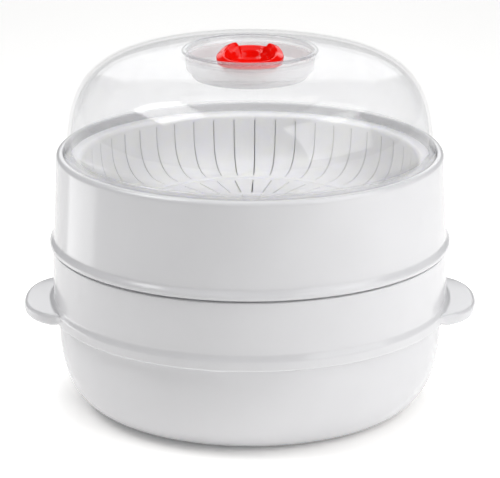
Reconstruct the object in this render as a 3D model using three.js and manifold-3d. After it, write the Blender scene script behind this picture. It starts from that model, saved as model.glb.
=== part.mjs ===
// Two-tier microwave egg cooker: water pot, egg rack, upper ring, steam basket and clear lid with a vent knob.
// Millimetres, +Z up. The origin is on the centre line at table height; the handles point along +X and -X.
import * as THREE from "three";
import { mergeVertices } from "three/addons/utils/BufferGeometryUtils.js";
import Module from "manifold-3d";

const wasm = await Module();
wasm.setup();

// Driving dimensions, shared by several pieces.
const FIT = 0.3; // air between two pieces that rest on or slide into each other
const FLATS = 48; // flats round each large turned piece
const SEAM = 95.5; // height where the pot and the ring meet
const BEAD_RADIUS = 118; // outside radius of the pot's flange and of the ring's base bead

const pot = {
  baseRadius: 82,
  bowlRadius: 113.5,
  bowlHeight: 55,
  roundness: 2.66, // exponent of the bowl's curve: 2 is a true oval, higher is squarer
  wall: 2.5,
  floor: 3.2,
  footInner: 68,
  footDepth: 1.2,
  flangeTop: 64.6, // where the flange's sloping shoulder meets the wall
  flangeShoulder: 61,
  flangeRound: 1.2,
  ledge: 61,
  rimRadius: 116.5,
  rimRound: 1,
  rim: SEAM - FIT / 2,
};

const handle = {
  root: 108, // where the handle's curved outline starts
  reach: 26,
  halfWidth: 35.5,
  roundness: 2.3,
  bottom: 54.6,
  top: 61.2,
  edge: 1.6,
  overlap: 8, // how far the plate runs inward of its root, to join the pot
};

const rack = {
  radius: 113.6,
  floorRadius: 98,
  floor: 44,
  thickness: 2,
  wallLean: 9, // how far the wall leans out from the floor up to the flange
  seatRadius: 17,
  seatRing: 60, // radius of the circle that the outer seats stand on
  seatCount: 6,
  collarWall: 2,
  collarHeight: 3,
  slotWidth: 3,
  outerSlot: [68, 92],
  innerSlot: [22, 44],
};

const ring = {
  bottom: SEAM + FIT / 2,
  beadRound: 0.5,
  beadShoulder: 98.6,
  beadTop: 102.2, // where the bead's sloping shoulder meets the wall
  baseRadius: 115.65, // the wall just above the bead
  top: 151.5,
  topRadius: 113.45, // the wall just below the rim
  rimRound: 3,
  mouthRadius: 109.4,
  ledge: 145,
  ledgeRadius: 105.3,
  ledgeThickness: 2,
  ledgeSlope: 6, // height of the slope that carries the ledge
  wall: 3,
  skirtWall: 2.4,
  skirtBottom: 91.5,
};
const skirtRadius = pot.rimRadius - pot.wall - FIT;

const basket = {
  flangeRadius: ring.mouthRadius - 0.5,
  flange: 2,
  mouthRadius: 101,
  wallRadius: 98.6,
  floorRadius: 73,
  floor: 114,
  thickness: 2,
  roundness: 2.9,
  lipDrop: 2.3, // how far the curve of the bowl stops below the flange
  rib: 1.2, // height of the raised ring round the floor
  slotWidth: 1.6,
  wallSlots: 48,
  outerSlots: 36,
  outerSlot: [37.5, 64.5],
  innerSlots: 18,
  innerSlot: [18, 34],
  turn: -1.7, // the basket sits a little turned in the ring, degrees
};
const basketTop = ring.ledge + FIT + basket.flange;

const lid = {
  radius: 107.09,
  springing: 145.5, // height of the dome curve's widest point
  rise: 65.22,
  sideRoundness: 4.77,
  crownRoundness: 2.89,
  wall: 2,
  flangeRadius: 108.9,
  flangeTop: 152.6,
  bottom: basketTop + FIT,
  lipRadius: 37.9,
  lipRound: 1.8,
  lipCrest: 211.6,
};

const well = {
  upperRadius: 35.5,
  lowerRadius: 32.4,
  taper: 0.4,
  step: 200,
  floor: 197,
  thickness: 2,
  stemHole: 5.9,
};

const port = { radius: 12, width: 4, span: 50 }; // steam ports: two curved slots, degrees of arc each

const knob = {
  radius: 19.6,
  dishRadius: 15,
  dishBottom: 200.8,
  rim: 206.8, // the dish's edge at the front, its lowest place
  rimFall: 1.2, // how far the outer edge lies below the dish's edge
  lowerEdge: 203,
  neckRadius: 9,
  neckTop: 201.2,
  diskRadius: 15.6,
  diskTop: 200,
  stemRadius: 5.2,
  stemBottom: 190.4,
  barbRadius: 6.3,
  barbTop: 192.2,
  split: 1.4, // width of the cut that lets the barbed end spring
  flats: 32,
  turn: -7, // the knob's back edge points this far from +Y, degrees
};

const seal = { inner: 5.6, outer: 15.2, thickness: 1.1 };
const sealTop = well.floor + FIT + seal.thickness;

const retainer = { inner: 5.5, outer: 9.5, slit: 3 };

// ---- geometry helpers -------------------------------------------------------------------------------------

const radians = THREE.MathUtils.degToRad;
const degrees = THREE.MathUtils.radToDeg;
const smoothstep = THREE.MathUtils.smoothstep;

// Points on a round arc, angles in degrees.
function arc(r, z, radius, from, to, steps) {
  return Array.from({ length: steps + 1 }, (_, i) => {
    const angle = radians(from + ((to - from) * i) / steps);
    return [r + radius * Math.cos(angle), z + radius * Math.sin(angle)];
  });
}

// Points on a squared-off quarter oval, from its side (0 degrees) to its pole (90 degrees).
function oval(r, z, width, height, sideRoundness, poleRoundness, from, to, steps) {
  return Array.from({ length: steps + 1 }, (_, i) => {
    const angle = radians(from + ((to - from) * i) / steps);
    const across = Math.max(Math.cos(angle), 0) ** (2 / sideRoundness);
    const along = Math.max(Math.sin(angle), 0) ** (2 / poleRoundness);
    return [r + width * across, z + height * along];
  });
}

// A bowl's curve between its floor and its rim, from the floor outward if rising, from the rim inward if not.
function bowlCurve(floorRadius, rimRadius, floor, rim, roundness, steps, rising) {
  const [from, to] = rising ? [90, 0] : [0, 90];
  return oval(floorRadius, rim, rimRadius - floorRadius, floor - rim, roundness, roundness, from, to, steps);
}

// A closed three.js geometry as a solid that can be joined and cut.
function solid(geometry) {
  geometry.deleteAttribute("normal");
  geometry.deleteAttribute("uv");
  const merged = mergeVertices(geometry, 1e-4);
  const corners = merged.index.array;
  const kept = [];
  for (let i = 0; i < corners.length; i += 3) {
    const [a, b, c] = corners.slice(i, i + 3);
    if (a !== b && b !== c && c !== a) kept.push(a, b, c);
  }
  const vertProperties = merged.attributes.position.array;
  const triVerts = new Uint32Array(kept);
  return new wasm.Manifold(new wasm.Mesh({ numProp: 3, vertProperties, triVerts }));
}

// A profile of [radius, height] points turned about the Z axis. It runs up the outside and down the inside,
// and either starts and ends on the axis or closes on itself. startDegrees turns its flats.
function turnedGeometry(profile, flats = FLATS, startDegrees = 0) {
  const points = profile.map(([r, z]) => new THREE.Vector2(r, z));
  const onAxis = points[0].x === 0 && points.at(-1).x === 0;
  if (!onAxis) points.push(points[0].clone());
  return new THREE.LatheGeometry(points, flats, radians(startDegrees)).rotateX(Math.PI / 2);
}

function turned(profile, flats = FLATS, startDegrees = 0) {
  return solid(turnedGeometry(profile, flats, startDegrees));
}

function cylinder(radius, bottom, top, flats) {
  return turned([[0, bottom], [radius, bottom], [radius, top], [0, top]], flats);
}

// A flat-sided block that runs outward from the axis along one bearing, for cutting a slot.
function radialBlock(from, to, width, bottom, top, bearingDegrees) {
  const block = new THREE.BoxGeometry(to - from, width, top - bottom);
  block.translate((from + to) / 2, 0, (bottom + top) / 2);
  block.rotateZ(radians(bearingDegrees));
  return solid(block);
}

// Both steam ports, as curved cutters centred on a bearing and the one opposite.
function portCutters(bearingDegrees, bottom, top) {
  return [0, 180].map((opposite) => {
    const middle = bearingDegrees + opposite;
    const from = radians(middle - port.span / 2);
    const to = radians(middle + port.span / 2);
    const outline = new THREE.Shape();
    outline.absarc(0, 0, port.radius + port.width / 2, from, to, false);
    outline.absarc(0, 0, port.radius - port.width / 2, to, from, true);
    outline.closePath();
    const depth = top - bottom;
    const sector = new THREE.ExtrudeGeometry(outline, { depth, bevelEnabled: false, curveSegments: 3 });
    return solid(sector.translate(0, 0, bottom));
  });
}

function cut(body, cutters) {
  return cutters.reduce((left, cutter) => left.subtract(cutter), body);
}

// ---- the pieces -------------------------------------------------------------------------------------------

// One handle: a flat D-shaped plate with eased edges, on the +X side (side = 1) or the -X side (side = -1).
function handlePlate(side) {
  const width = handle.halfWidth - handle.edge;
  const reach = handle.reach - handle.edge;
  const quarter = oval(handle.root, 0, reach, width, handle.roundness, handle.roundness, 0, 90, 7);
  const mirrored = quarter.slice(1).reverse().map(([x, y]) => [x, -y]);
  const inboard = handle.root - handle.overlap;
  const outline = [...mirrored, ...quarter, [inboard, width], [inboard, -width]];
  const plate = new THREE.ExtrudeGeometry(new THREE.Shape(outline.map(([x, y]) => new THREE.Vector2(x, y))), {
    depth: handle.top - handle.bottom - 2 * handle.edge,
    bevelThickness: handle.edge,
    bevelSize: handle.edge,
    bevelSegments: 2,
  });
  plate.translate(0, 0, handle.bottom + handle.edge);
  if (side < 0) plate.rotateZ(Math.PI);
  return solid(plate);
}

// The water pot: a rounded bowl, a flange with two handles, and a straight wall up to the rim.
function waterPot() {
  const innerRim = pot.rimRadius - pot.wall;
  const bowlInner = pot.bowlRadius - pot.wall;
  const innerBase = pot.baseRadius - 1;
  const { bowlHeight, roundness, floor } = pot;
  const shell = turned([
    [0, pot.footDepth],
    [pot.footInner - pot.footDepth, pot.footDepth],
    [pot.footInner, 0],
    ...bowlCurve(pot.baseRadius, pot.bowlRadius, 0, bowlHeight, roundness, 6, true),
    [BEAD_RADIUS - pot.flangeRound, bowlHeight],
    [BEAD_RADIUS, bowlHeight + pot.flangeRound],
    [BEAD_RADIUS, pot.flangeShoulder],
    [pot.rimRadius, pot.flangeTop],
    ...arc(pot.rimRadius - pot.rimRound, pot.rim - pot.rimRound, pot.rimRound, 0, 90, 2),
    [innerRim, pot.rim],
    [innerRim, pot.ledge],
    [bowlInner, pot.ledge],
    ...bowlCurve(innerBase, bowlInner, floor, bowlHeight, roundness, 5, false),
    [0, floor],
  ]);
  const hollow = cylinder(bowlInner + 1, handle.bottom - 1, handle.top + 1, FLATS);
  const handles = [1, -1].map((side) => handlePlate(side).subtract(hollow));
  return shell.add(handles[0]).add(handles[1]);
}

// The egg rack: a shallow perforated dish that rests on the pot's ledge, with seven seats for eggs.
function eggRack() {
  const flangeBottom = pot.ledge + FIT;
  const flangeTop = flangeBottom + rack.thickness;
  const floorTop = rack.floor + rack.thickness;
  const wallTop = rack.floorRadius + rack.wallLean;
  const dish = turned([
    [0, rack.floor],
    [rack.floorRadius, rack.floor],
    [wallTop, flangeBottom - rack.thickness],
    [wallTop + rack.thickness, flangeBottom],
    [rack.radius, flangeBottom],
    [rack.radius, flangeTop],
    [wallTop, flangeTop],
    [wallTop - rack.thickness, flangeTop - rack.thickness],
    [rack.floorRadius - rack.thickness, floorTop],
    [0, floorTop],
  ]);
  const collarTop = floorTop + rack.collarHeight;
  const bearings = Array.from({ length: rack.seatCount }, (_, i) => (360 * i) / rack.seatCount);
  const centres = [[0, 0], ...bearings.map((b) => [
    rack.seatRing * Math.cos(radians(b)),
    rack.seatRing * Math.sin(radians(b)),
  ])];
  const collar = cylinder(rack.seatRadius + rack.collarWall, rack.floor, collarTop, 16);
  const hole = cylinder(rack.seatRadius, rack.floor - 1, collarTop + 1, 16);
  const withCollars = centres.reduce((body, [x, y]) => body.add(collar.translate([x, y, 0])), dish);
  const seats = centres.map(([x, y]) => hole.translate([x, y, 0]));
  const betweenSeats = 180 / rack.seatCount;
  const slots = [rack.outerSlot, rack.innerSlot].flatMap(([from, to]) => bearings.map((b) =>
    radialBlock(from, to, rack.slotWidth, rack.floor - 1, floorTop + 1, b + betweenSeats)));
  return cut(withCollars, [...seats, ...slots]);
}

// The upper ring: the second tier's wall, with a skirt that drops into the pot and a ledge under its mouth.
function upperRing() {
  const skirtInner = skirtRadius - ring.skirtWall;
  const underLedge = ring.ledge - ring.ledgeThickness;
  return turned([
    [skirtInner, ring.skirtBottom],
    [skirtRadius, ring.skirtBottom],
    [skirtRadius, ring.bottom],
    [BEAD_RADIUS - ring.beadRound, ring.bottom],
    [BEAD_RADIUS, ring.bottom + ring.beadRound],
    [BEAD_RADIUS, ring.beadShoulder],
    [ring.baseRadius, ring.beadTop],
    ...arc(ring.topRadius - ring.rimRound, ring.top - ring.rimRound, ring.rimRound, 0, 90, 3),
    [ring.mouthRadius, ring.top],
    [ring.mouthRadius, ring.ledge],
    [ring.ledgeRadius, ring.ledge],
    [ring.ledgeRadius, underLedge],
    [ring.topRadius - ring.wall, underLedge - ring.ledgeSlope],
    [ring.baseRadius - ring.wall, ring.beadTop],
    [skirtInner, ring.bottom],
  ]);
}

// The steam basket: a bowl whose flange rests on the ring's ledge, slotted all round and across its floor.
function steamBasket() {
  const { wallRadius, floorRadius, floor, thickness, roundness } = basket;
  const flangeBottom = basketTop - basket.flange;
  const curveTop = basketTop - basket.lipDrop;
  const outerWall = wallRadius + thickness;
  const under = floor - thickness;
  const shell = turned([
    [0, under],
    ...bowlCurve(floorRadius + thickness, outerWall, under, curveTop, roundness, 4, true),
    [outerWall + 1, flangeBottom],
    [basket.flangeRadius, flangeBottom],
    [basket.flangeRadius, basketTop],
    [basket.mouthRadius, basketTop],
    ...bowlCurve(floorRadius, wallRadius, floor, curveTop, roundness, 4, false),
    [floorRadius - 1, floor + basket.rib],
    [floorRadius - 4, floor + basket.rib],
    [floorRadius - 5, floor],
    [0, floor],
  ], FLATS, 180 / FLATS);
  const slots = (count, [from, to], top) => Array.from({ length: count }, (_, i) =>
    radialBlock(from, to, basket.slotWidth, under - 1, top, (360 * i) / count));
  const wallSlot = [floorRadius + thickness + 0.5, basket.mouthRadius + thickness + 0.5];
  const slotted = cut(shell, [
    ...slots(basket.wallSlots, wallSlot, curveTop - 1.5),
    ...slots(basket.outerSlots, basket.outerSlot, floor + 1),
    ...slots(basket.innerSlots, basket.innerSlot, floor + 1),
  ]);
  return slotted.rotate([0, 0, basket.turn]);
}

// The lid: a clear dome with a flange that sits in the ring's mouth and a stepped well sunk into its crown.
function lidDome() {
  const { radius, springing, rise, sideRoundness, crownRoundness, wall } = lid;
  const sideAngle = 4; // the dome's curve starts just above the flange
  const crownAngle = degrees(Math.acos(((lid.lipRadius + lid.lipRound) / radius) ** (sideRoundness / 2)));
  const domeCurve = (width, height, from, to, steps) =>
    oval(0, springing, width, height, sideRoundness, crownRoundness, from, to, steps);
  const wellOuter = well.upperRadius + wall;
  const lowerOuter = well.lowerRadius + wall;
  const lipMiddle = lid.lipCrest - lid.lipRound;
  const underside = well.floor - well.thickness;
  const shell = turned([
    [radius - wall, lid.bottom],
    [lid.flangeRadius, lid.bottom],
    [lid.flangeRadius, lid.flangeTop],
    ...domeCurve(radius, rise, sideAngle, crownAngle, 8),
    ...arc(lid.lipRadius, lipMiddle, lid.lipRound, 30, 180, 5),
    [well.upperRadius, lipMiddle - lid.lipRound],
    [well.upperRadius - well.taper, well.step],
    [well.lowerRadius, well.step],
    [well.lowerRadius - well.taper, well.floor],
    [well.stemHole, well.floor],
    [well.stemHole, underside],
    [lowerOuter - well.taper, underside],
    [lowerOuter, well.step - wall],
    [wellOuter - well.taper, well.step - wall],
    [wellOuter, springing + rise - 2 * wall],
    ...domeCurve(radius - wall, rise - wall, crownAngle, sideAngle, 7),
  ]);
  return cut(shell, portCutters(90, underside - 1, well.floor + 1));
}

// How far the knob's rim stands above its front, by the angle from its back edge: two lugs and a lower back.
function rimRise(fromBack) {
  const back = 3;
  const lug = 2.2 * smoothstep(fromBack, 30, 40);
  const sideFall = 2.6 * smoothstep(fromBack, 44, 100);
  const frontFall = 2.6 * smoothstep(fromBack, 95, 150);
  return back + lug - sideFall - frontFall;
}

// The vent knob: a dished cap with two finger lugs on a ported disk, with a snap stem through the lid.
function ventKnob() {
  const dishDepth = knob.rim - knob.dishBottom;
  const dishSphere = (knob.dishRadius ** 2 + dishDepth ** 2) / (2 * dishDepth);
  const dishAngle = degrees(Math.asin(knob.dishRadius / dishSphere));
  const rimOuter = knob.rim - knob.rimFall;
  const dish = arc(0, knob.dishBottom + dishSphere, dishSphere, dishAngle - 90, -90, 5);
  dish.at(-1)[0] = 0;
  const geometry = turnedGeometry([
    [0, knob.stemBottom],
    [knob.stemRadius, knob.stemBottom],
    [knob.barbRadius, knob.barbTop - 0.3],
    [knob.barbRadius, knob.barbTop],
    [knob.stemRadius, knob.barbTop],
    [knob.stemRadius, sealTop + FIT],
    [knob.diskRadius, sealTop + FIT],
    [knob.diskRadius, knob.diskTop],
    [knob.neckRadius, knob.diskTop],
    [knob.neckRadius, knob.neckTop],
    [knob.radius - 1.6, knob.lowerEdge - 0.4],
    [knob.radius - 0.4, knob.lowerEdge],
    [knob.radius, rimOuter - 0.8],
    [knob.radius - 0.6, rimOuter],
    [knob.dishRadius + 1, knob.rim],
    ...dish,
  ], knob.flats);
  const position = geometry.attributes.position;
  const backBearing = 90 + knob.turn;
  for (let i = 0; i < position.count; i++) {
    const bearing = degrees(Math.atan2(position.getY(i), position.getX(i)));
    const offBack = Math.abs(THREE.MathUtils.euclideanModulo(bearing - backBearing + 180, 360) - 180);
    const share = smoothstep(position.getZ(i), knob.lowerEdge, rimOuter - 0.8);
    position.setZ(i, position.getZ(i) + share * rimRise(offBack));
  }
  const split = radialBlock(-8, 8, knob.split, knob.stemBottom - 1, well.floor - 1, 90);
  return cut(solid(geometry), [...portCutters(0, sealTop, knob.diskTop + 0.6), split]);
}

// The soft washer under the knob's disk: it closes the lid's ports until the knob is turned a quarter.
function ventSeal() {
  const bottom = well.floor + FIT;
  const washer = turned([
    [seal.inner, bottom],
    [seal.outer, bottom],
    [seal.outer, sealTop],
    [seal.inner, sealTop],
  ], knob.flats);
  return cut(washer, portCutters(0, bottom - 1, sealTop + 1));
}

// The split clip under the well's floor, held up by the stem's barb: it keeps the knob in the lid.
function knobRetainer() {
  const bottom = knob.barbTop + FIT;
  const top = well.floor - well.thickness - FIT;
  const clip = turned([
    [retainer.inner, bottom],
    [retainer.outer - 0.6, bottom],
    [retainer.outer, bottom + 0.6],
    [retainer.outer, top],
    [retainer.inner, top],
  ], 24);
  return clip.subtract(radialBlock(retainer.inner - 2, retainer.outer + 2, retainer.slit, bottom - 1, top + 1, 0));
}

// ---- the assembly -----------------------------------------------------------------------------------------

const plastics = {
  white: { color: 0xf1f2f3, roughness: 0.25, metalness: 0 },
  basketWhite: { color: 0xe9eae5, roughness: 0.4, metalness: 0 },
  clear: { color: 0xe4ebf2, roughness: 0.08, metalness: 0, transparent: true, opacity: 0.35 },
  red: { color: 0xe3140c, roughness: 0.3, metalness: 0 },
  silicone: { color: 0xd9d9d4, roughness: 0.7, metalness: 0 },
};

function piece(name, made, plastic) {
  const { vertProperties, triVerts } = made.getMesh();
  const geometry = new THREE.BufferGeometry();
  geometry.setAttribute("position", new THREE.BufferAttribute(vertProperties, 3));
  geometry.setIndex(new THREE.BufferAttribute(triVerts, 1));
  geometry.computeVertexNormals();
  const mesh = new THREE.Mesh(geometry, new THREE.MeshStandardMaterial(plastic));
  mesh.name = name;
  return mesh;
}

const cooker = new THREE.Group();
cooker.add(
  piece("water_pot", waterPot(), plastics.white),
  piece("egg_rack", eggRack(), plastics.basketWhite),
  piece("upper_ring", upperRing(), plastics.white),
  piece("steam_basket", steamBasket(), plastics.basketWhite),
  piece("lid_dome", lidDome(), plastics.clear),
  piece("vent_knob", ventKnob(), plastics.red),
  piece("vent_seal", ventSeal(), plastics.silicone),
  piece("knob_retainer", knobRetainer(), plastics.red),
);

export default cooker;
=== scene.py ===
"""Looks of the two-tier microwave egg cooker: finely turned pieces, plastic materials and a white studio.

Lengths are in metres in the frame's axes: +Z up, the handles along +X and -X, the viewer on the -Y side.
"""

import math

import bpy
from mathutils import Matrix, Vector


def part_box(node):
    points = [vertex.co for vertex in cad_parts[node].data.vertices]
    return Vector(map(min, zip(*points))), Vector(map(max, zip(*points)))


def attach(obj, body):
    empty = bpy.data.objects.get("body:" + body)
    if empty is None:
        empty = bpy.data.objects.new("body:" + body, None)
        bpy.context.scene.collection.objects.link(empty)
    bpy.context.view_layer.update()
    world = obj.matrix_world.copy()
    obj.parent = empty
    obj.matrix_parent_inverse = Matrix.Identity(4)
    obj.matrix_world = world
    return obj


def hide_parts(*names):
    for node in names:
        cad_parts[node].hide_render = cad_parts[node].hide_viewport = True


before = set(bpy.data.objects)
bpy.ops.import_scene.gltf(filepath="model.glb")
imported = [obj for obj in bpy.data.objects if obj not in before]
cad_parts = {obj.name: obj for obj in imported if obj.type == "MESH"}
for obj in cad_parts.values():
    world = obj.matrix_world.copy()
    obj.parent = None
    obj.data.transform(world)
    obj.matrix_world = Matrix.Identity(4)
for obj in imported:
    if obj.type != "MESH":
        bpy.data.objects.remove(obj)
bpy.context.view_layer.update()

MM = 0.001
FIT = 0.3 * MM  # air between pieces that rest on or slide into each other
ROUND_STEPS = 192  # facets round a large turned piece

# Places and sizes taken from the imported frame.
_, POT_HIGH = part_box("water_pot")
RACK_LOW, RACK_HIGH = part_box("egg_rack")
RING_LOW, RING_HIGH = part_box("upper_ring")
BASKET_LOW, BASKET_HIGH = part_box("steam_basket")
LID_LOW, LID_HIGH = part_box("lid_dome")
KNOB_LOW, KNOB_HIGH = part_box("vent_knob")
SEAL_LOW, SEAL_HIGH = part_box("vent_seal")
CLIP_LOW, CLIP_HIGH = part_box("knob_retainer")

BEAD_RADIUS = POT_HIGH.y
GROOVE = 0.6 * MM  # how much each lip beside the seam is drawn back to show the dark line between them
SEAM = POT_HIGH.z + FIT / 2

# Places on the lid that its shape and its shading share.
WELL_RADIUS = 37.5 * MM  # outside of the well's wall
LIP_RADIUS = 37.9 * MM  # middle of the rolled lip round the well
LIP_ROLL = 1.8 * MM  # half the lip's thickness


# ---- outlines ---------------------------------------------------------------------------------------------


def ease(value, start, end):
    """How far a value has gone from start to end, as 0 to 1 with a soft beginning and a soft finish."""
    share = min(max((value - start) / (end - start), 0.0), 1.0)
    return share * share * (3 - 2 * share)


def arc(r, z, across, along, start, end, steps=6):
    """Points on a round or oval arc about (r, z), from one angle to another in degrees."""
    angles = [math.radians(start + (end - start) * i / steps) for i in range(steps + 1)]
    return [(r + across * math.cos(a), z + along * math.sin(a)) for a in angles]


def shoulder(r_low, z_low, r_high, z_high, steps=10):
    """Points on a smooth S-shaped slope from a wide place up to a narrower one, upright at both ends."""
    points = []
    for i in range(steps + 1):
        share = i / steps
        points.append((r_low + (r_high - r_low) * ease(share, 0, 1), z_low + (z_high - z_low) * share))
    return points


def squared_oval(r, z, width, height, side_power, pole_power, start, end, steps):
    """Points on a squared-off quarter oval, from its side (0 degrees) to its pole (90 degrees)."""
    points = []
    for i in range(steps + 1):
        angle = math.radians(start + (end - start) * i / steps)
        across = max(math.cos(angle), 0.0) ** (2 / side_power)
        along = max(math.sin(angle), 0.0) ** (2 / pole_power)
        points.append((r + width * across, z + height * along))
    return points


def supported(profile, margin=0.35 * MM):
    """The profile with an extra point near both ends of each long straight stretch, for crisp shading."""
    points = []
    for (r0, z0), (r1, z1) in zip(profile, profile[1:] + profile[:1]):
        points.append((r0, z0))
        length = math.hypot(r1 - r0, z1 - z0)
        on_axis = r0 == 0 and r1 == 0
        if length > 4 * margin and not on_axis:
            for share in (margin / length, 1 - margin / length):
                points.append((r0 + (r1 - r0) * share, z0 + (z1 - z0) * share))
    return points


# ---- meshes -----------------------------------------------------------------------------------------------


def make_object(name, points, faces):
    mesh = bpy.data.meshes.new(name)
    mesh.from_pydata(points, [], faces)
    mesh.validate()
    piece = bpy.data.objects.new(name, mesh)
    bpy.context.scene.collection.objects.link(piece)
    return piece


def turned(name, profile, steps=ROUND_STEPS):
    """A profile of (radius, height) points turned about the Z axis into a closed mesh.

    It runs up the outside and down the inside, and starts and ends on the axis or closes on itself.
    """
    points = []
    rings = []
    for r, z in supported(profile):
        if r == 0:
            rings.append([len(points)] * steps)
            points.append((0.0, 0.0, z))
            continue
        rings.append(list(range(len(points), len(points) + steps)))
        for i in range(steps):
            angle = 2 * math.pi * i / steps
            points.append((r * math.cos(angle), r * math.sin(angle), z))
    closed = profile[0][0] > 0
    pairs = list(zip(rings, rings[1:]))
    if closed:
        pairs.append((rings[-1], rings[0]))
    faces = []
    for low, high in pairs:
        for i in range(steps):
            j = (i + 1) % steps
            corners = []
            for corner in (low[i], low[j], high[j], high[i]):
                if corner not in corners:
                    corners.append(corner)
            if len(corners) > 2:
                faces.append(corners)
    return make_object(name, points, faces)


def prism(name, outline, bottom, top):
    """A closed block over a counter-clockwise outline of (x, y) points."""
    count = len(outline)
    points = [(x, y, bottom) for x, y in outline] + [(x, y, top) for x, y in outline]
    faces = [list(range(count - 1, -1, -1)), list(range(count, 2 * count))]
    for i in range(count):
        j = (i + 1) % count
        faces.append([i, j, count + j, count + i])
    return make_object(name, points, faces)


def merge(name, pieces):
    """Several separate closed meshes as one object."""
    points = []
    faces = []
    for piece in pieces:
        first = len(points)
        points += [piece.matrix_world @ v.co for v in piece.data.vertices]
        faces += [[first + i for i in polygon.vertices] for polygon in piece.data.polygons]
        bpy.data.objects.remove(piece)
    return make_object(name, points, faces)


def combine(piece, other, operation):
    """Joins another closed mesh onto a piece, or cuts it away from it, and removes the other."""
    modifier = piece.modifiers.new("combine", "BOOLEAN")
    modifier.operation = operation
    modifier.solver = "MANIFOLD"
    modifier.object = other
    bpy.context.view_layer.update()
    evaluated = piece.evaluated_get(bpy.context.evaluated_depsgraph_get())
    made = bpy.data.meshes.new_from_object(evaluated)
    piece.modifiers.clear()
    piece.data = made
    bpy.data.objects.remove(other)
    return piece


def smooth(piece, sharp_above=40):
    """Smooth shading, except over edges sharper than an angle in degrees."""
    piece.data.shade_smooth()
    piece.data.set_sharp_from_angle(angle=math.radians(sharp_above))
    return piece


def slot_outline(start, end, width, bearing, end_steps=5):
    """A radial slot with round ends as (x, y) points, between two radii on one bearing in radians."""
    half = width / 2
    outline = arc(end - half, 0, half, half, -90, 90, end_steps)
    outline += arc(start + half, 0, half, half, 90, 270, end_steps)
    turn = Matrix.Rotation(bearing, 2)
    return [tuple(turn @ Vector(point)) for point in outline]


def slot_cutters(count, start, end, width, bottom, top, turn):
    """Blocks that cut evenly spaced radial slots, the first on a bearing of turn in radians."""
    cutters = []
    for i in range(count):
        bearing = turn + 2 * math.pi * i / count
        cutters.append(prism("cutter", slot_outline(start, end, width, bearing), bottom, top))
    return cutters


# ---- materials --------------------------------------------------------------------------------------------

NOISE_LOW = 0.3  # a noise texture seldom goes below this
NOISE_HIGH = 0.7  # nor above this
TINT_LOW = 0.35  # below this a noise texture gives only the first of two colours
TINT_HIGH = 0.65  # and above this only the second


def new_material(name):
    """A material with a Principled shader, as the material, the shader node and the output node."""
    material = bpy.data.materials.new(name)
    material.use_nodes = True
    nodes = material.node_tree.nodes
    nodes.clear()
    output = nodes.new("ShaderNodeOutputMaterial")
    shader = nodes.new("ShaderNodeBsdfPrincipled")
    material.node_tree.links.new(shader.outputs["BSDF"], output.inputs["Surface"])
    return material, shader, output


def noise(material, scale, detail=2.0):
    """A noise texture in the object's own coordinates, with a scale in repeats per metre."""
    nodes = material.node_tree.nodes
    place = nodes.new("ShaderNodeTexCoord")
    texture = nodes.new("ShaderNodeTexNoise")
    texture.inputs["Scale"].default_value = scale
    texture.inputs["Detail"].default_value = detail
    material.node_tree.links.new(place.outputs["Object"], texture.inputs["Vector"])
    return texture.outputs["Fac"]


def varied(material, factor, low, high, socket):
    """Drives a number socket between two values by a noise factor."""
    span = material.node_tree.nodes.new("ShaderNodeMapRange")
    span.inputs["From Min"].default_value = NOISE_LOW
    span.inputs["From Max"].default_value = NOISE_HIGH
    span.inputs["To Min"].default_value = low
    span.inputs["To Max"].default_value = high
    material.node_tree.links.new(factor, span.inputs["Value"])
    material.node_tree.links.new(span.outputs["Result"], socket)


def tinted(material, factor, first, second, socket):
    """Drives a colour socket between two colours by a noise factor."""
    ramp = material.node_tree.nodes.new("ShaderNodeValToRGB")
    ramp.color_ramp.elements[0].position = TINT_LOW
    ramp.color_ramp.elements[1].position = TINT_HIGH
    ramp.color_ramp.elements[0].color = (*first, 1.0)
    ramp.color_ramp.elements[1].color = (*second, 1.0)
    material.node_tree.links.new(factor, ramp.inputs["Fac"])
    material.node_tree.links.new(ramp.outputs["Color"], socket)


def bumped(material, factor, height, strength, shader):
    """Ripples a shader's surface by a noise factor, up to a height in metres."""
    bump = material.node_tree.nodes.new("ShaderNodeBump")
    bump.inputs["Strength"].default_value = strength
    bump.inputs["Distance"].default_value = height
    material.node_tree.links.new(factor, bump.inputs["Height"])
    material.node_tree.links.new(bump.outputs["Normal"], shader.inputs["Normal"])


def moulded_plastic(name, first, second, roughness, spread, scatter=0.0, gloss=0.5):
    """An opaque moulded plastic with a cloudy tone, an uneven gloss and a faint ripple of its surface."""
    material, shader, _ = new_material(name)
    shader.inputs["IOR"].default_value = 1.49
    shader.inputs["Specular IOR Level"].default_value = gloss
    shader.inputs["Subsurface Weight"].default_value = scatter
    shader.inputs["Subsurface Radius"].default_value = (3 * MM, 3 * MM, 2.5 * MM)
    shader.inputs["Subsurface Scale"].default_value = 1.0
    tinted(material, noise(material, 18), first, second, shader.inputs["Base Color"])
    varied(material, noise(material, 240, 4), roughness, roughness + spread, shader.inputs["Roughness"])
    bumped(material, noise(material, 60, 1), 0.1 * MM, 0.05, shader)
    return material


def calculated(material, operation, first, second):
    """A Math node. Each of the two inputs is a socket or a number."""
    node = material.node_tree.nodes.new("ShaderNodeMath")
    node.operation = operation
    for socket, value in zip(node.inputs, (first, second)):
        if isinstance(value, (int, float)):
            socket.default_value = value
        else:
            material.node_tree.links.new(value, socket)
    return node.outputs["Value"]


def mixed(material, factor, first, second):
    """The first shader where the factor is 0, turning into the second where it is 1."""
    mix = material.node_tree.nodes.new("ShaderNodeMixShader")
    material.node_tree.links.new(factor, mix.inputs["Fac"])
    material.node_tree.links.new(first, mix.inputs[1])
    material.node_tree.links.new(second, mix.inputs[2])
    return mix.outputs["Shader"]


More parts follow.
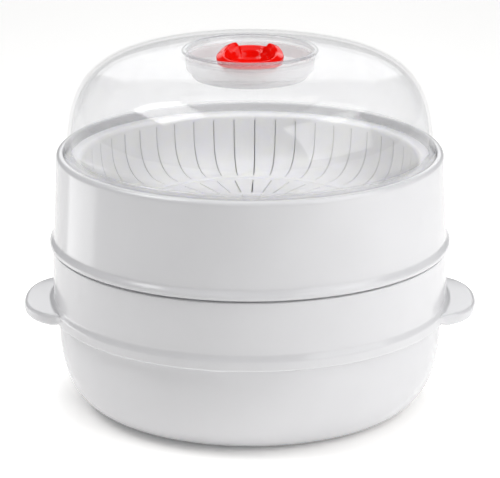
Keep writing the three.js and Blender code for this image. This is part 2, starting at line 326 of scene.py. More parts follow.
def beyond(material, value, start, end):
    """A socket that rises from 0 to 1 as a value goes from start to end."""
    span = material.node_tree.nodes.new("ShaderNodeMapRange")
    span.inputs["From Min"].default_value = start
    span.inputs["From Max"].default_value = end
    material.node_tree.links.new(value, span.inputs["Value"])
    return span.outputs["Result"]


def distance_and_height(material):
    """A surface point's distance from the upright centre line, and its height, as two sockets."""
    nodes = material.node_tree.nodes
    place = nodes.new("ShaderNodeTexCoord")
    apart = nodes.new("ShaderNodeSeparateXYZ")
    material.node_tree.links.new(place.outputs["Object"], apart.inputs["Vector"])
    x_squared = calculated(material, "MULTIPLY", apart.outputs["X"], apart.outputs["X"])
    y_squared = calculated(material, "MULTIPLY", apart.outputs["Y"], apart.outputs["Y"])
    radius = calculated(material, "POWER", calculated(material, "ADD", x_squared, y_squared), 0.5)
    return radius, apart.outputs["Z"]


MIRROR_EDGE_ON = 0.3  # how much more the clear plastic mirrors when it is seen edge-on
MIRROR_FACING = 0.035  # how much it mirrors when it is seen face-on
WELL_FROST = 0.42  # how frosted the well's wall and floor are, out of 1
FOOT_FROST = 0.26  # how frosted the lid's foot is
HAZE = 0.13  # how cloudy the rest can be
PAINTED_LIP_SHADE = 0.34  # how much painted shade the rolled lip gets, as an opaque grey
LIP_HEIGHT = LID_HIGH.z - 3.4 * MM  # the rolled lip starts here, and the frosted wall of the well ends


def clear_sheet(material):
    """A shader that passes light straight on, and mirrors more where it is seen edge-on."""
    nodes = material.node_tree.nodes
    passing = nodes.new("ShaderNodeBsdfTransparent")
    passing.inputs["Color"].default_value = (0.993, 0.994, 0.998, 1.0)
    mirror = nodes.new("ShaderNodeBsdfGlossy")
    varied(material, noise(material, 90, 3), 0.03, 0.07, mirror.inputs["Roughness"])
    bumped(material, noise(material, 35, 1), 0.1 * MM, 0.04, mirror)
    facing = nodes.new("ShaderNodeLayerWeight")
    facing.inputs["Blend"].default_value = 0.5
    grazing = calculated(material, "POWER", facing.outputs["Facing"], 5)
    reflected = calculated(material, "MULTIPLY", grazing, MIRROR_EDGE_ON)
    reflected = calculated(material, "ADD", reflected, MIRROR_FACING)
    return mixed(material, reflected, passing.outputs["BSDF"], mirror.outputs["BSDF"])


def haze_amount(material, radius, height):
    """How hazy the lid is: cloudy all over, and frosted on the well and on its foot."""
    in_well = beyond(material, radius, WELL_RADIUS + 0.4 * MM, WELL_RADIUS - 0.2 * MM)
    under_lip = beyond(material, height, LIP_HEIGHT, LIP_HEIGHT - 2 * MM)
    on_foot = beyond(material, height, LID_LOW.z + 6.5 * MM, LID_LOW.z + 5 * MM)
    on_well = calculated(material, "MULTIPLY", in_well, under_lip)
    well_frost = calculated(material, "MULTIPLY", on_well, WELL_FROST)
    foot_frost = calculated(material, "MULTIPLY", on_foot, FOOT_FROST)
    frost = calculated(material, "MAXIMUM", well_frost, foot_frost)
    cloud = calculated(material, "MULTIPLY", noise(material, 25), HAZE)
    return calculated(material, "ADD", frost, cloud)


def painted_lip_shade_amount(material, radius, height):
    """How much painted shade the lid gets, as an opaque grey, which is only on the rolled lip round the
    well.
    """
    out_of_mouth = beyond(material, radius, LIP_RADIUS - 2.4 * MM, LIP_RADIUS - 1.9 * MM)
    off_crown = beyond(material, radius, LIP_RADIUS + 2.2 * MM, LIP_RADIUS + 1.6 * MM)
    on_lip = beyond(material, height, LIP_HEIGHT, LIP_HEIGHT + 1 * MM)
    around = calculated(material, "MULTIPLY", out_of_mouth, off_crown)
    lip = calculated(material, "MULTIPLY", around, on_lip)
    return calculated(material, "MULTIPLY", lip, PAINTED_LIP_SHADE)


def clear_plastic(name):
    """A thin clear plastic with a faint cloudy haze, a frosted well and foot, and painted shade on the
    thicker rolled lip as an opaque grey.
    """
    material, haze, output = new_material(name)
    haze.inputs["Base Color"].default_value = (0.84, 0.84, 0.85, 1.0)
    haze.inputs["Roughness"].default_value = 0.5
    # Painted shade: an opaque grey on the rolled lip, standing for the darkening that the clear lip shows.
    painted_lip_grey = material.node_tree.nodes.new("ShaderNodeBsdfPrincipled")
    painted_lip_grey.inputs["Base Color"].default_value = (0.42, 0.43, 0.46, 1.0)
    painted_lip_grey.inputs["Roughness"].default_value = 0.12
    radius, height = distance_and_height(material)
    hazed = haze_amount(material, radius, height)
    painted_shade_share = painted_lip_shade_amount(material, radius, height)
    hazy = mixed(material, hazed, clear_sheet(material), haze.outputs["BSDF"])
    surface = mixed(material, painted_shade_share, hazy, painted_lip_grey.outputs["BSDF"])
    material.node_tree.links.new(surface, output.inputs["Surface"])
    return material


WHITE = moulded_plastic("white_plastic", (0.695, 0.695, 0.712), (0.715, 0.715, 0.732), 0.12, 0.05)
WARM_WHITE = moulded_plastic("basket_plastic", (0.955, 0.955, 0.92), (0.97, 0.97, 0.94), 0.3, 0.08, 1.0)
RED = moulded_plastic("red_plastic", (0.80, 0.003, 0.001), (0.86, 0.005, 0.002), 0.10, 0.04, gloss=0.2)
SILICONE = moulded_plastic("silicone", (0.66, 0.66, 0.64), (0.72, 0.72, 0.70), 0.55, 0.1)
CLEAR = clear_plastic("clear_plastic")


def finished(piece, material, body, node):
    """Gives a piece its material and its body, and hides the CAD node that it stands for."""
    piece.data.materials.clear()
    piece.data.materials.append(material)
    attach(piece, body)
    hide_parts(node)


# ---- the water pot ----------------------------------------------------------------------------------------

POT_WALL = 2.5 * MM
POT_RIM_RADIUS = BEAD_RADIUS - 1.5 * MM
BOWL_RADIUS = BEAD_RADIUS - 4.5 * MM
BOWL_TOP = SEAM - 40.5 * MM  # height of the flange's underside
BOWL_ROUNDNESS = 2.66  # 2 is a plain oval, and higher powers are squarer
BASE_RADIUS = 82 * MM
FLANGE_TOP = BOWL_TOP + 9.6 * MM
FLANGE_SHOULDER = BOWL_TOP + 5.6 * MM
POT_LEDGE = RACK_LOW.z + 17 * MM  # height of the ledge that the rack's rim rests on
HANDLE_TOP = BOWL_TOP + 6.2 * MM
HANDLE_BOTTOM = BOWL_TOP - 0.4 * MM
HANDLE_SWEEP = math.radians(26)  # a handle's mesh runs this far to each side of its middle
HANDLE_FLARE = 6 * MM  # how softly a handle's outline runs into the flange
HANDLE_HIDDEN = BEAD_RADIUS - 0.6 * MM  # a handle's edge ends here, just inside the flange


def pot_shell():
    inner_rim = POT_RIM_RADIUS - POT_WALL
    bowl_inner = BOWL_RADIUS - POT_WALL
    inner_base = BASE_RADIUS - 1 * MM
    floor = 3.2 * MM
    foot_inner = 68 * MM
    foot_depth = 1.2 * MM
    power = BOWL_ROUNDNESS
    rim = POT_HIGH.z - GROOVE
    lip = 0.6 * MM
    fold = 0.8 * MM  # rounds the corner between the bowl and the flange
    edge = 1.1 * MM  # rounds the flange's lower edge
    profile = [(0.0, foot_depth), (foot_inner - foot_depth, foot_depth)]
    profile += arc(foot_inner, foot_depth, 0.9 * MM, foot_depth, 180, 270, 4)
    bulge = BOWL_RADIUS - BASE_RADIUS
    profile += squared_oval(BASE_RADIUS, BOWL_TOP, bulge, -BOWL_TOP, power, power, 90, 1, 36)
    profile += arc(BOWL_RADIUS + fold, BOWL_TOP - fold, fold, fold, 180, 90, 4)
    profile += arc(BEAD_RADIUS - edge, BOWL_TOP + edge, edge, edge, -90, 0, 8)
    profile += shoulder(BEAD_RADIUS, FLANGE_SHOULDER - 0.6 * MM, POT_RIM_RADIUS, FLANGE_TOP)
    profile += arc(POT_RIM_RADIUS - lip, rim - lip, lip, lip, 0, 90, 6)
    profile += arc(inner_rim + lip, rim - lip, lip, lip, 90, 180, 4)
    profile += arc(inner_rim - 0.5 * MM, POT_LEDGE + 0.5 * MM, 0.5 * MM, 0.5 * MM, 0, -90, 3)
    profile += arc(bowl_inner + lip, POT_LEDGE - lip, lip, lip, 90, 180, 4)
    inner_bulge = bowl_inner - inner_base
    profile += squared_oval(inner_base, BOWL_TOP, inner_bulge, floor - BOWL_TOP, power, power, 1, 90, 32)
    profile.append((0.0, floor))
    return turned("water_pot_visual", profile)


def handle_outline_radius(bearing):
    """The handle's outer radius at a bearing from the X axis: a squared oval flared into the flange."""
    root = 108 * MM  # where the middle of the oval stands
    flared = 0.42 * MM  # about how far the flare pushes the handle's tip out
    reach = POT_HIGH.x - root - flared
    half_width = 37 * MM
    power = 2.3
    halvings = 40  # steps in the search for the radius where the bearing leaves the oval
    low = root / 2
    high = root + reach + 1 * MM
    for _ in range(halvings):
        radius = (low + high) / 2
        across = max(radius * math.cos(bearing) - root, 0.0) / reach
        along = abs(radius * math.sin(bearing)) / half_width
        if across**power + along**power < 1:
            low = radius
        else:
            high = radius
    return HANDLE_HIDDEN + HANDLE_FLARE * math.log1p(math.exp((low - HANDLE_HIDDEN) / HANDLE_FLARE))


def handle_section(radius):
    """The handle's cross-section as (radius, height) points, from the wall over the edge and back below."""
    share = ease(radius, HANDLE_HIDDEN, HANDLE_HIDDEN + HANDLE_FLARE)
    inside_wall = 1.2 * MM  # how deep the root ends in the pot's wall
    top = HANDLE_TOP
    bottom = HANDLE_BOTTOM + (1 - share) * 2.5 * MM
    edge = min(2.4 * MM, (top - bottom) / 2.05, max((radius - HANDLE_HIDDEN) * 0.45, 0.15 * MM))
    room = max(radius - edge - BEAD_RADIUS, 0.0)
    reach = min(3.4 * MM, room * 0.6)
    rise = 4 * MM * share
    points = [(POT_RIM_RADIUS - inside_wall, top + rise)]
    points += arc(BEAD_RADIUS - 1.4 * MM + reach, top + rise, reach, rise, 180, 270, 9)
    points += arc(radius - edge, top - edge, edge, edge, 90, 0, 7)
    points += arc(radius - edge, bottom + edge, edge, edge, 0, -90, 7)
    drop = min(1 * MM, room * 0.3)
    points += arc(BOWL_RADIUS - 0.3 * MM + drop, bottom - drop, drop, drop, 90, 180, 4)
    points.append((BOWL_RADIUS - inside_wall, bottom - drop))
    return points


def handle(side):
    """One handle as a closed mesh: cross-sections swept round the pot's axis from one root to the other."""
    sections = 96
    points = []
    for i in range(sections + 1):
        bearing = HANDLE_SWEEP * (2 * i / sections - 1)
        for r, z in handle_section(handle_outline_radius(bearing)):
            points.append((side * r * math.cos(bearing), side * r * math.sin(bearing), z))
    count = len(points) // (sections + 1)
    faces = [list(range(count)), list(range(sections * count + count - 1, sections * count - 1, -1))]
    for i in range(sections):
        for k in range(count):
            m = (k + 1) % count
            faces.append([i * count + k, (i + 1) * count + k, (i + 1) * count + m, i * count + m])
    return make_object("handle", points, faces)


def water_pot():
    pot = pot_shell()
    for side in (1, -1):
        combine(pot, handle(side), "UNION")
    finished(smooth(pot), WHITE, "pot", "water_pot")


# ---- the egg rack -----------------------------------------------------------------------------------------


RACK_FLOOR_RADIUS = 98 * MM
RACK_THICKNESS = 2 * MM
RACK_FLOOR_TOP = RACK_LOW.z + RACK_THICKNESS
SEAT_RADIUS = 17 * MM
SEAT_RING = 60 * MM  # how far the outer seats stand from the middle one
OUTER_SEATS = 6
COLLAR_TOP = RACK_FLOOR_TOP + 3 * MM


def rack_shell():
    floor = RACK_LOW.z
    top = RACK_HIGH.z
    under = top - RACK_THICKNESS
    wall_top = RACK_FLOOR_RADIUS + 9 * MM
    edge = 0.6 * MM
    rim = RACK_HIGH.x - edge
    profile = [(0.0, floor)]
    profile += arc(RACK_FLOOR_RADIUS - 3 * MM, floor + 3 * MM, 3 * MM, 3 * MM, -90, -30, 6)
    profile += arc(wall_top + 2.2 * MM, under - 2 * MM, 2 * MM, 2 * MM, 150, 90, 5)
    profile += arc(rim, under + edge, edge, edge, -90, 0, 4)
    profile += arc(rim, top - edge, edge, edge, 0, 90, 4)
    profile += arc(wall_top + 1.2 * MM, top - 2.2 * MM, 2.2 * MM, 2.2 * MM, 90, 160, 5)
    profile += arc(RACK_FLOOR_RADIUS - 5 * MM, RACK_FLOOR_TOP + 2.2 * MM, 2.2 * MM, 2.2 * MM, -30, -90, 5)
    profile.append((0.0, RACK_FLOOR_TOP))
    return turned("egg_rack_visual", profile, 144)


def seat_collar():
    """The rounded collar that stands round an egg seat."""
    bottom = RACK_LOW.z + 0.4 * MM
    inside = SEAT_RADIUS - 1.5 * MM
    outside = SEAT_RADIUS + 3 * MM
    profile = [(inside, bottom), (outside, bottom)]
    profile += arc(outside, RACK_FLOOR_TOP + 1 * MM, 1 * MM, 1 * MM, 270, 180, 4)
    profile += arc(SEAT_RADIUS + 1.1 * MM, COLLAR_TOP - 0.9 * MM, 0.9 * MM, 0.9 * MM, 0, 90, 5)
    profile.append((inside, COLLAR_TOP))
    return turned("collar", profile, 48)


def seat_bore():
    """The flared hole that an egg's end sits in, as a cutter."""
    bottom = RACK_LOW.z - 1 * MM
    profile = [(0.0, bottom), (SEAT_RADIUS, bottom)]
    profile += arc(SEAT_RADIUS + 2 * MM, COLLAR_TOP + 0.4 * MM, 2 * MM, 2 * MM, 200, 150, 5)
    profile.append((0.0, COLLAR_TOP + 1.4 * MM))
    return turned("bore", profile, 48)


def egg_rack():
    rack = rack_shell()
    centres = [(0, 0, 0)]
    for i in range(OUTER_SEATS):
        bearing = 2 * math.pi * i / OUTER_SEATS
        centres.append((SEAT_RING * math.cos(bearing), SEAT_RING * math.sin(bearing), 0))
    for make, operation in ((seat_collar, "UNION"), (seat_bore, "DIFFERENCE")):
        for centre in centres:
            piece = make()
            piece.location = centre
            combine(rack, piece, operation)
    cut = {
        "width": 3 * MM,
        "bottom": RACK_LOW.z - 1 * MM,
        "top": RACK_FLOOR_TOP + 2 * MM,
        "turn": math.pi / OUTER_SEATS,
    }
    slots = slot_cutters(OUTER_SEATS, 68 * MM, 92 * MM, **cut)
    slots += slot_cutters(OUTER_SEATS, 22 * MM, 44 * MM, **cut)
    combine(rack, merge("slots", slots), "DIFFERENCE")
    finished(smooth(rack), WARM_WHITE, "rack", "egg_rack")


# ---- the upper ring ---------------------------------------------------------------------------------------

RING_MOUTH = BASKET_HIGH.x + 0.5 * MM  # inner radius at the top, round the basket's flange
RING_LEDGE = BASKET_HIGH.z - 2 * MM - FIT  # height of the ledge that the flange rests on
RING_BASE = SEAM + FIT / 2


def upper_ring():
    top = RING_HIGH.z
    top_radius = BEAD_RADIUS - 4.55 * MM
    base_radius = BEAD_RADIUS - 2.35 * MM
    wall = 3 * MM
    ledge_radius = RING_MOUTH - 4.1 * MM
    skirt = POT_RIM_RADIUS - POT_WALL - FIT
    skirt_inner = skirt - 2.4 * MM
    lip = RING_BASE + GROOVE
    rim = 3 * MM
    profile = arc(skirt_inner + 0.6 * MM, RING_LOW.z + 0.6 * MM, 0.6 * MM, 0.6 * MM, 180, 270, 3)
    profile += arc(skirt - 0.8 * MM, RING_LOW.z + 0.8 * MM, 0.8 * MM, 0.8 * MM, -90, 0, 4)
    profile += [(skirt, lip)]
    profile += arc(BEAD_RADIUS - 0.7 * MM, lip + 0.7 * MM, 0.7 * MM, 0.7 * MM, -90, 0, 6)
    profile += shoulder(BEAD_RADIUS, RING_BASE + 2.4 * MM, base_radius, RING_BASE + 6.6 * MM)
    profile += arc(top_radius - rim, top - rim, rim, rim, 0, 90, 12)
    profile += arc(RING_MOUTH + 0.8 * MM, top - 0.8 * MM, 0.8 * MM, 0.8 * MM, 90, 180, 5)
    profile += arc(RING_MOUTH - 0.3 * MM, RING_LEDGE + 0.3 * MM, 0.3 * MM, 0.3 * MM, 0, -90, 3)
    profile += arc(ledge_radius + 0.5 * MM, RING_LEDGE - 0.5 * MM, 0.5 * MM, 0.5 * MM, 90, 180, 3)
    profile += [(ledge_radius, RING_LEDGE - 2 * MM), (top_radius - wall, RING_LEDGE - 8 * MM)]
    profile += [(base_radius - wall, RING_BASE + 7 * MM), (skirt_inner, RING_BASE)]
    ring = turned("upper_ring_visual", profile)
    finished(smooth(ring, 50), WHITE, "ring", "upper_ring")


# ---- the steam basket -------------------------------------------------------------------------------------

BASKET_WALL_RADIUS = 98.6 * MM
BASKET_FLOOR_RADIUS = 73 * MM
BASKET_FLOOR = BASKET_LOW.z + 2 * MM
BASKET_CURVE_TOP = BASKET_HIGH.z - 2.3 * MM
BASKET_TURN = math.radians(-1.7)  # the loose basket lies a little turned, as in the photograph
WALL_SLOTS = 48
OUTER_FLOOR_SLOTS = 36
INNER_FLOOR_SLOTS = 18
FLOOR_SLOT_WIDTH = 0.9 * MM
WALL_SLOT_HALF_BELOW = 0.32 * MM  # half a wall slot's width at its foot
WALL_SLOT_HALF_ABOVE = 0.19 * MM  # and at its top


def basket_shell():
    thickness = 2 * MM
    top = BASKET_HIGH.z
    flange_radius = BASKET_HIGH.x
    power = 2.9
    outer_wall = BASKET_WALL_RADIUS + thickness
    outer_floor = BASKET_FLOOR_RADIUS + thickness
    under = BASKET_LOW.z
    rib = 1.2 * MM
    edge = 0.7 * MM
    profile = [(0.0, under)]
    width = outer_wall - outer_floor
    depth = under - BASKET_CURVE_TOP
    profile += squared_oval(outer_floor, BASKET_CURVE_TOP, width, depth, power, power, 90, 0, 24)
    profile += arc(outer_wall + 0.8 * MM, top - thickness - 0.8 * MM, 0.8 * MM, 0.8 * MM, 180, 90, 4)
    profile += arc(flange_radius - edge, top - thickness + edge, edge, edge, -90, 0, 4)
    profile += arc(flange_radius - edge, top - edge, edge, edge, 0, 90, 4)
    profile += arc(BASKET_WALL_RADIUS + 2.3 * MM, top - 2.3 * MM, 2.3 * MM, 2.3 * MM, 90, 180, 8)
    width = BASKET_WALL_RADIUS - BASKET_FLOOR_RADIUS
    depth = BASKET_FLOOR - BASKET_CURVE_TOP
    profile += squared_oval(BASKET_FLOOR_RADIUS, BASKET_CURVE_TOP, width, depth, power, power, 1, 90, 24)
    profile += arc(BASKET_FLOOR_RADIUS - 2.5 * MM, BASKET_FLOOR + 0.1 * MM, 1.8 * MM, rib, 0, 180, 8)
    profile.append((0.0, BASKET_FLOOR))
    return turned("steam_basket_visual", profile)


def wall_slot_cutter(bearing):
    """A wedge that cuts one wall slot: a little narrower at the top than where it meets the floor."""
    inner = BASKET_FLOOR_RADIUS + 2.5 * MM
    outer = BASKET_WALL_RADIUS + 5 * MM
    bottom = BASKET_LOW.z - 1 * MM
    top = BASKET_CURVE_TOP - 1.5 * MM
    points = []
    for z, half in ((bottom, WALL_SLOT_HALF_BELOW), (top, WALL_SLOT_HALF_ABOVE)):
        for r, side in ((inner, -1), (outer, -1), (outer, 1), (inner, 1)):
            along = Matrix.Rotation(bearing, 2) @ Vector((r, side * half))
            points.append((along.x, along.y, z))
    faces = [[3, 2, 1, 0], [4, 5, 6, 7]]
    faces += [[i, (i + 1) % 4, 4 + (i + 1) % 4, 4 + i] for i in range(4)]
    return make_object("cutter", points, faces)


def steam_basket():
    basket = basket_shell()
    below = BASKET_LOW.z - 1 * MM
    above = BASKET_FLOOR + 1 * MM
    cut = (FLOOR_SLOT_WIDTH, below, above, BASKET_TURN)
    wall = [wall_slot_cutter(BASKET_TURN + 2 * math.pi * i / WALL_SLOTS) for i in range(WALL_SLOTS)]
    outer = slot_cutters(OUTER_FLOOR_SLOTS, 37.5 * MM, 64.5 * MM, *cut)
    inner = slot_cutters(INNER_FLOOR_SLOTS, 18 * MM, 34 * MM, *cut)
    combine(basket, merge("slots", wall + outer + inner), "DIFFERENCE")
    finished(smooth(basket), WARM_WHITE, "basket", "steam_basket")


# ---- the lid ----------------------------------------------------------------------------------------------

PORT_RADIUS = 12 * MM
PORT_WIDTH = 4 * MM
PORT_SPAN = 50  # degrees
WELL_FLOOR = SEAL_LOW.z - FIT
WELL_THICKNESS = 2 * MM


def port_cutters(bearing_degrees, bottom, top):
    """Both curved steam ports, centred on a bearing and the one opposite."""
    outer = PORT_RADIUS + PORT_WIDTH / 2
    inner = PORT_RADIUS - PORT_WIDTH / 2
    side = PORT_SPAN / 2
    outline = arc(0, 0, outer, outer, -side, side, 12) + arc(0, 0, inner, inner, side, -side, 12)
    cutters = []
    for middle in (bearing_degrees, bearing_degrees + 180):
        turn = Matrix.Rotation(math.radians(middle), 2)
        placed = [tuple(turn @ Vector(point)) for point in outline]
        cutters.append(prism("cutter", placed, bottom, top))
    return merge("ports", cutters)


def lid_dome():
    radius = LID_HIGH.x - 1.81 * MM
    springing = BASKET_HIGH.z - 1.8 * MM
    rise = LID_HIGH.z - springing - 0.88 * MM
    side_power = 4.77
    crown_power = 2.89
    wall = 2 * MM
    bottom = LID_LOW.z
    flange = LID_HIGH.x
    flange_top = bottom + 5 * MM
    lip_middle = LID_HIGH.z - LIP_ROLL
    upper = 35.5 * MM
    lower = 32.4 * MM
    step = WELL_FLOOR + 3 * MM
    stem_hole = 5.9 * MM
    underside = WELL_FLOOR - WELL_THICKNESS
    profile = arc(radius - wall + 0.6 * MM, bottom + 0.6 * MM, 0.6 * MM, 0.6 * MM, 180, 270, 4)
    profile += arc(flange - 0.6 * MM, bottom + 0.6 * MM, 0.6 * MM, 0.6 * MM, -90, 0, 4)
    profile += arc(flange - 1.1 * MM, flange_top, 1.1 * MM, 1.6 * MM, 0, 70, 6)
    profile += squared_oval(0, springing, radius, rise, side_power, crown_power, 4.5, 84.4, 64)
    profile += arc(LIP_RADIUS, lip_middle, LIP_ROLL, LIP_ROLL, 20, 180, 12)
    profile += [(upper, lip_middle - 2 * MM)]
    profile += arc(upper - 0.9 * MM, step + 0.4 * MM, 0.4 * MM, 0.4 * MM, 0, -70, 4)
    profile += arc(lower + 0.5 * MM, step - 1.3 * MM, 0.5 * MM, 0.5 * MM, 90, 180, 4)
    profile += arc(lower - 1.4 * MM, WELL_FLOOR + 1.2 * MM, 1.2 * MM, 1.2 * MM, 0, -90, 5)
    profile += [(stem_hole, WELL_FLOOR), (stem_hole, underside)]
    profile += arc(lower, underside + 1.6 * MM, 1.6 * MM, 1.6 * MM, -90, 0, 6)
    profile += arc(lower + wall + 0.3 * MM, step - 1.2 * MM, 0.7 * MM, 0.7 * MM, 180, 90, 4)
    profile += arc(upper + wall - 1.0 * MM, step + 0.1 * MM, 0.6 * MM, 0.6 * MM, -90, 0, 4)
    crown = springing + rise - wall
    profile += arc(upper + wall + 1.4 * MM, crown - 1.9 * MM, 1.4 * MM, 1.4 * MM, 180, 100, 5)
    profile += squared_oval(0, springing, radius - wall, rise - wall, side_power, crown_power, 83.6, 4.5, 56)
    lid = turned("lid_dome_visual", profile)
    combine(lid, port_cutters(90, underside - 1 * MM, WELL_FLOOR + 1 * MM), "DIFFERENCE")
    finished(smooth(lid, 50), CLEAR, "lid", "lid_dome")


# ---- the vent knob ----------------------------------------------------------------------------------------

KNOB_RADIUS = KNOB_HIGH.y
KNOB_TURN = -7  # degrees: the knob points a little off the centre plane, as in the photograph
KNOB_LOWER_EDGE = SEAL_HIGH.z + 4.6 * MM
KNOB_RIM = KNOB_LOWER_EDGE + 3.8 * MM
KNOB_RIM_FALL = 1.2 * MM


def rim_rise(from_back):
    """How far the rim is lifted, by the angle in degrees from the knob's back: a lug stands on each side."""
    lug = 2.2 * ease(from_back, 31, 39)
    side_fall = 3.2 * ease(from_back, 44, 84)
    front_fall = 2.0 * ease(from_back, 80, 140)
    return (3.0 + lug - side_fall - front_fall) * MM


def raise_rim(knob, full_height):
    """Lifts the rim by rim_rise, from nothing at the knob's lower edge to all of it at a given height."""
    back = math.radians(90 + KNOB_TURN)
    for vertex in knob.data.vertices:
        bearing = math.atan2(vertex.co.y, vertex.co.x) - back
        from_back = math.degrees(abs(math.remainder(bearing, 2 * math.pi)))
        vertex.co.z += ease(vertex.co.z, KNOB_LOWER_EDGE, full_height) * rim_rise(from_back)


def vent_knob():
    stem = 5.2 * MM
    barb = 6.3 * MM
    barb_top = CLIP_LOW.z - FIT
    disk = 15.6 * MM
    disk_bottom = SEAL_HIGH.z + FIT
    disk_top = SEAL_HIGH.z + 1.6 * MM
    neck = 9 * MM
    neck_top = disk_top + 1.2 * MM
    dish = 15 * MM
    dish_bottom = neck_top - 0.4 * MM
    depth = KNOB_RIM - dish_bottom
    sphere = (dish**2 + depth**2) / (2 * depth)
    dish_angle = math.degrees(math.asin(dish / sphere))
    rim_outer = KNOB_RIM - KNOB_RIM_FALL
    profile = [(0.0, KNOB_LOW.z), (stem - 0.5 * MM, KNOB_LOW.z)]
    profile += [(barb, barb_top - 0.5 * MM), (barb, barb_top), (stem, barb_top), (stem, disk_bottom)]
    profile += arc(disk - 0.4 * MM, disk_bottom + 0.4 * MM, 0.4 * MM, 0.4 * MM, -90, 0, 3)
    profile += arc(disk - 0.4 * MM, disk_top - 0.4 * MM, 0.4 * MM, 0.4 * MM, 0, 90, 3)
    profile += [(neck, disk_top), (neck, neck_top)]
    profile += arc(KNOB_RADIUS - 1.4 * MM, KNOB_LOWER_EDGE + 0.6 * MM, 1.2 * MM, 1.0 * MM, -80, -8, 5)
    profile += arc(KNOB_RADIUS - 0.9 * MM, rim_outer - 0.9 * MM, 0.9 * MM, 0.9 * MM, 0, 75, 6)
    profile += arc(dish + 0.9 * MM, KNOB_RIM - 0.5 * MM, 0.7 * MM, 0.5 * MM, 75, 150, 5)
    profile += arc(0, dish_bottom + sphere, sphere, sphere, dish_angle - 90.5, -89, 16)
    profile.append((0.0, dish_bottom))
    knob = turned("vent_knob_visual", profile, 144)
    raise_rim(knob, rim_outer - 0.8 * MM)
    combine(knob, port_cutters(0, SEAL_HIGH.z, disk_top + 0.6 * MM), "DIFFERENCE")
    side = 0.7 * MM  # half the split in the barbed end, which lets it snap through the lid
    end = 8 * MM
    gap = [(-side, -end), (side, -end), (side, end), (-side, end)]
    combine(knob, prism("split", gap, KNOB_LOW.z - 1 * MM, WELL_FLOOR - 1 * MM), "DIFFERENCE")
    finished(smooth(knob), RED, "knob", "vent_knob")


def vent_seal():
    bottom, top = SEAL_LOW.z, SEAL_HIGH.z
    edge = 0.3 * MM
    inner = 5.6 * MM
    outer = SEAL_HIGH.x
    profile = arc(inner + edge, bottom + edge, edge, edge, 180, 270, 3)
    profile += arc(outer - edge, bottom + edge, edge, edge, -90, 0, 3)
    profile += arc(outer - edge, top - edge, edge, edge, 0, 90, 3)
    profile += arc(inner + edge, top - edge, edge, edge, 90, 180, 3)
    washer = turned("vent_seal_visual", profile, 96)
    combine(washer, port_cutters(0, bottom - 1 * MM, top + 1 * MM), "DIFFERENCE")
    finished(smooth(washer), SILICONE, "knob", "vent_seal")


def knob_retainer():
    bottom, top = CLIP_LOW.z, CLIP_HIGH.z
    edge = 0.3 * MM
    inner = 5.5 * MM
    outer = CLIP_HIGH.y
    slit = 1.5 * MM
    profile = arc(inner + edge, bottom + edge, edge, edge, 180, 270, 3)
    profile += arc(outer - 0.8 * MM, bottom + 0.8 * MM, 0.8 * MM, 0.8 * MM, -90, 0, 5)
    profile += arc(outer - edge, top - edge, edge, edge, 0, 90, 3)
    profile += arc(inner + edge, top - edge, edge, edge, 90, 180, 3)
    clip = turned("knob_retainer_visual", profile, 96)
    gap = [(inner - 2 * MM, -slit), (outer + 2 * MM, -slit), (outer + 2 * MM, slit), (inner - 2 * MM, slit)]
    combine(clip, prism("slit", gap, bottom - 1 * MM, top + 1 * MM), "DIFFERENCE")
    finished(smooth(clip), RED, "knob", "knob_retainer")


# ---- the studio -------------------------------------------------------------------------------------------

ROOM_GLOW = 0.03  # even light from all sides
FLOOR_GLOW = 0.35  # the pale floor glows a little away from the object, so that it comes out white there; the glow fades out near the base, which paints a contact shadow there on top of the lamps' own shadow
# Painted contact shadow: the floor's glow is gone inside the first radius and full beyond the second.
PAINTED_SHADOW_FULL_TO = BASE_RADIUS - 2 * MM
PAINTED_SHADOW_GONE_AT = BASE_RADIUS + 42 * MM


def studio_floor():
    half = 6.0
    corners = [(-half, -half, 0), (half, -half, 0), (half, half, 0), (-half, half, 0)]
    floor = make_object("studio_floor", corners, [[0, 1, 2, 3]])
    material, shader, _ = new_material("studio_floor")
    shader.inputs["Base Color"].default_value = (0.99, 0.975, 0.955, 1.0)
    shader.inputs["Roughness"].default_value = 0.9
    shader.inputs["Specular IOR Level"].default_value = 0.1
    # The glow is a little blue against the warm floor, so that the floor comes out white where it glows and
    # warm in the painted shadow.
    shader.inputs["Emission Color"].default_value = (0.96, 0.98, 1.0, 1.0)
    radius, _ = distance_and_height(material)
    glow = beyond(material, radius, PAINTED_SHADOW_FULL_TO, PAINTED_SHADOW_GONE_AT)
    strength = calculated(material, "MULTIPLY", glow, FLOOR_GLOW)
    material.node_tree.links.new(strength, shader.inputs["Emission Strength"])
    floor.data.materials.append(material)


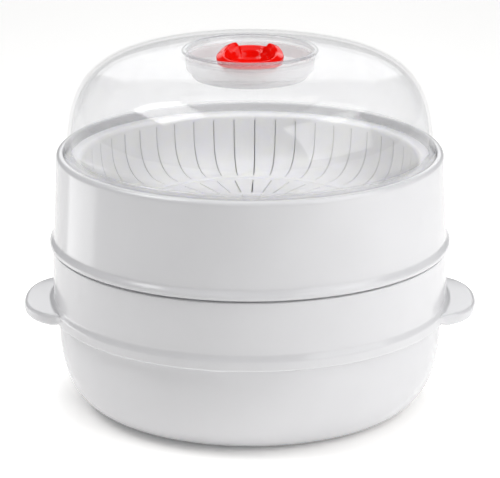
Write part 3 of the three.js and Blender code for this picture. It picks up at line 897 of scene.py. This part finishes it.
def softbox(name, place, target, width, height, power):
    """A rectangular lamp at a place, aimed at a target, with a power in watts."""
    light = bpy.data.lights.new(name, "AREA")
    light.shape = "RECTANGLE"
    light.size = width
    light.size_y = height
    light.energy = power
    lamp = bpy.data.objects.new(name, light)
    lamp.location = place
    lamp.rotation_mode = "QUATERNION"
    lamp.rotation_quaternion = (Vector(target) - Vector(place)).to_track_quat("-Z", "Y")
    bpy.context.scene.collection.objects.link(lamp)


def studio_light():
    world = bpy.data.worlds.new("studio_world")
    world.use_nodes = True
    world.node_tree.nodes["Background"].inputs["Color"].default_value = (1.0, 1.0, 1.0, 1.0)
    world.node_tree.nodes["Background"].inputs["Strength"].default_value = ROOM_GLOW
    bpy.context.scene.world = world
    middle = (0, 0, 0.1)
    softbox("softbox_top", (0, 0, 1.3), middle, 0.9, 0.9, 3.2)
    softbox("softbox_top_left", (-0.7, -0.1, 1.1), middle, 0.6, 0.6, 7.2)
    softbox("softbox_top_right", (0.7, -0.1, 1.1), middle, 0.6, 0.6, 2.6)
    softbox("softbox_right", (0.95, -0.6, 0.75), middle, 1.1, 1.1, 10.0)
    softbox("softbox_back", (0, 1.6, 0.9), middle, 1.6, 0.8, 7.0)
    softbox("card_left", (-0.40, 0.09, 0.04), (-0.10, -0.06, 0.04), 0.2, 0.08, 0.08)
    bpy.context.scene.view_settings.view_transform = "Standard"


def photo_camera():
    """The camera of the photograph: a long lens, level left to right, looking 17 degrees down."""
    pitch = math.radians(17.1)
    distance = 1.5
    target = Vector((0, 0, SEAM + 0.45 * MM))
    data = bpy.data.cameras.new("camera")
    data.sensor_width = 36
    data.lens = 182.35
    camera = bpy.data.objects.new("camera", data)
    camera.location = target + distance * Vector((0, -math.cos(pitch), math.sin(pitch)))
    camera.rotation_euler = (math.pi / 2 - pitch, 0, 0)
    bpy.context.scene.collection.objects.link(camera)
    bpy.context.scene.camera = camera


photo_camera()
studio_light()
studio_floor()
water_pot()
egg_rack()
upper_ring()
steam_basket()
lid_dome()
vent_knob()
vent_seal()
knob_retainer()
